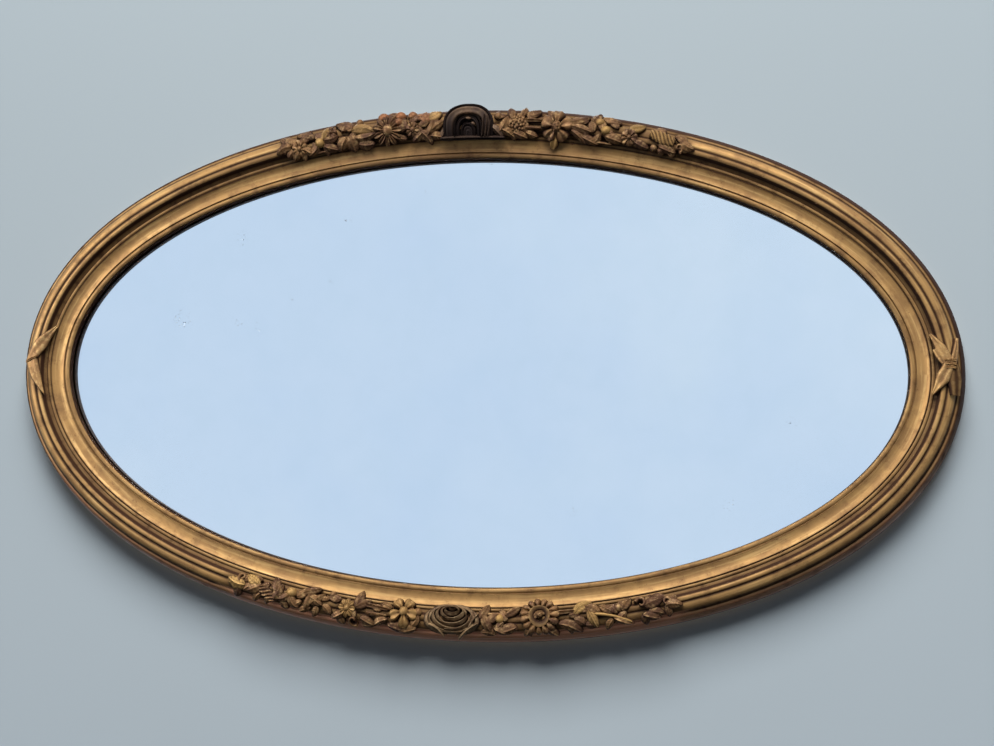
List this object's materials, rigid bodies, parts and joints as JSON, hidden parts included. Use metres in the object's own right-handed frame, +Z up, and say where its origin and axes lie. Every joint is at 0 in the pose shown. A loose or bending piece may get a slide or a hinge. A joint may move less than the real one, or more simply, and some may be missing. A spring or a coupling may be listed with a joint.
{
  "type": "oval mirror",
  "caption": "Landscape oval wall mirror in a reeded gilt wood frame with cast flower sprays and ribbon ties, hung from rings on its back.",
  "frame": {"origin": "middle of the backboard's outer face, which lies against the wall", "axes": "+Z up, +X to the viewer's right, -Y out of the wall towards the viewer"},
  "size_m": [0.9, 0.0432, 0.5071],
  "materials": {
    "gilt_wood": "aged gilt over red bole",
    "gilt_casting": "cast composition ornament, aged gilt",
    "dark_casting": "cast composition ornament, darkened gilt",
    "gilt_ribbon": "cast composition ribbon, aged gilt",
    "plate_glass": "clear plate glass",
    "silvering": "old silvering",
    "dowel_wood": "plain beech",
    "block_wood": "plain softwood",
    "backboard_wood": "aged thin board",
    "pin_steel": "dull steel",
    "hanger_brass": "tarnished brass",
    "screw_brass": "worn brass"
  },
  "bodies": {
    "frame": {"frame_quarter_top_right": "gilt_wood", "frame_quarter_top_left": "gilt_wood", "frame_quarter_bottom_left": "gilt_wood", "frame_quarter_bottom_right": "gilt_wood", "splice_dowels": "dowel_wood", "mirror_glass": "plate_glass", "mirror_silvering": "silvering", "glass_glue_blocks": "block_wood", "backboard": "backboard_wood", "backboard_pins": "pin_steel", "strap_hanger_left": "hanger_brass", "strap_hanger_right": "hanger_brass", "hanger_screws_left": "screw_brass", "hanger_screws_right": "screw_brass", "top_left_tip_sprig": "gilt_casting", "top_left_berry_sprig": "gilt_casting", "top_left_curled_leaves": "gilt_casting", "top_left_daisy": "gilt_casting", "top_left_gold_leaves": "gilt_casting", "top_right_blossom_sprig": "gilt_casting", "top_right_dog_rose": "gilt_casting", "top_right_bud_sprig": "gilt_casting", "top_right_small_flower": "gilt_casting", "top_right_fern_tip": "gilt_casting", "bottom_left_tip_sprig": "gilt_casting", "bottom_left_bud_sprig": "gilt_casting", "bottom_left_small_daisy": "gilt_casting", "bottom_left_ribbed_leaf": "gilt_casting", "bottom_left_gold_flower": "gilt_casting", "bottom_right_leaf_sprig": "gilt_casting", "bottom_right_great_daisy": "gilt_casting", "bottom_right_bow_leaves": "gilt_casting", "bottom_right_stem_sprig": "gilt_casting", "bottom_right_tip_sprig": "gilt_casting", "bottom_rose": "gilt_casting", "crest_rose": "dark_casting", "left_ribbon_tie": "gilt_ribbon", "right_ribbon_tie": "gilt_ribbon"},
    "ring_left": {"hanging_ring_left": "hanger_brass"},
    "ring_right": {"hanging_ring_right": "hanger_brass"}
  },
  "joints": [
    {"name": "left_ring_turn", "type": "hinge", "parent": "frame", "child": "ring_left", "pos_m": [-0.25873, -0.00294, 0.19257], "axis": [-0.3686, 0, 0.9296], "range_deg": [0, 165]},
    {"name": "right_ring_turn", "type": "hinge", "parent": "frame", "child": "ring_right", "pos_m": [0.25873, -0.00294, 0.19257], "axis": [-0.3686, 0, -0.9296], "range_deg": [0, 165]}
  ]
}
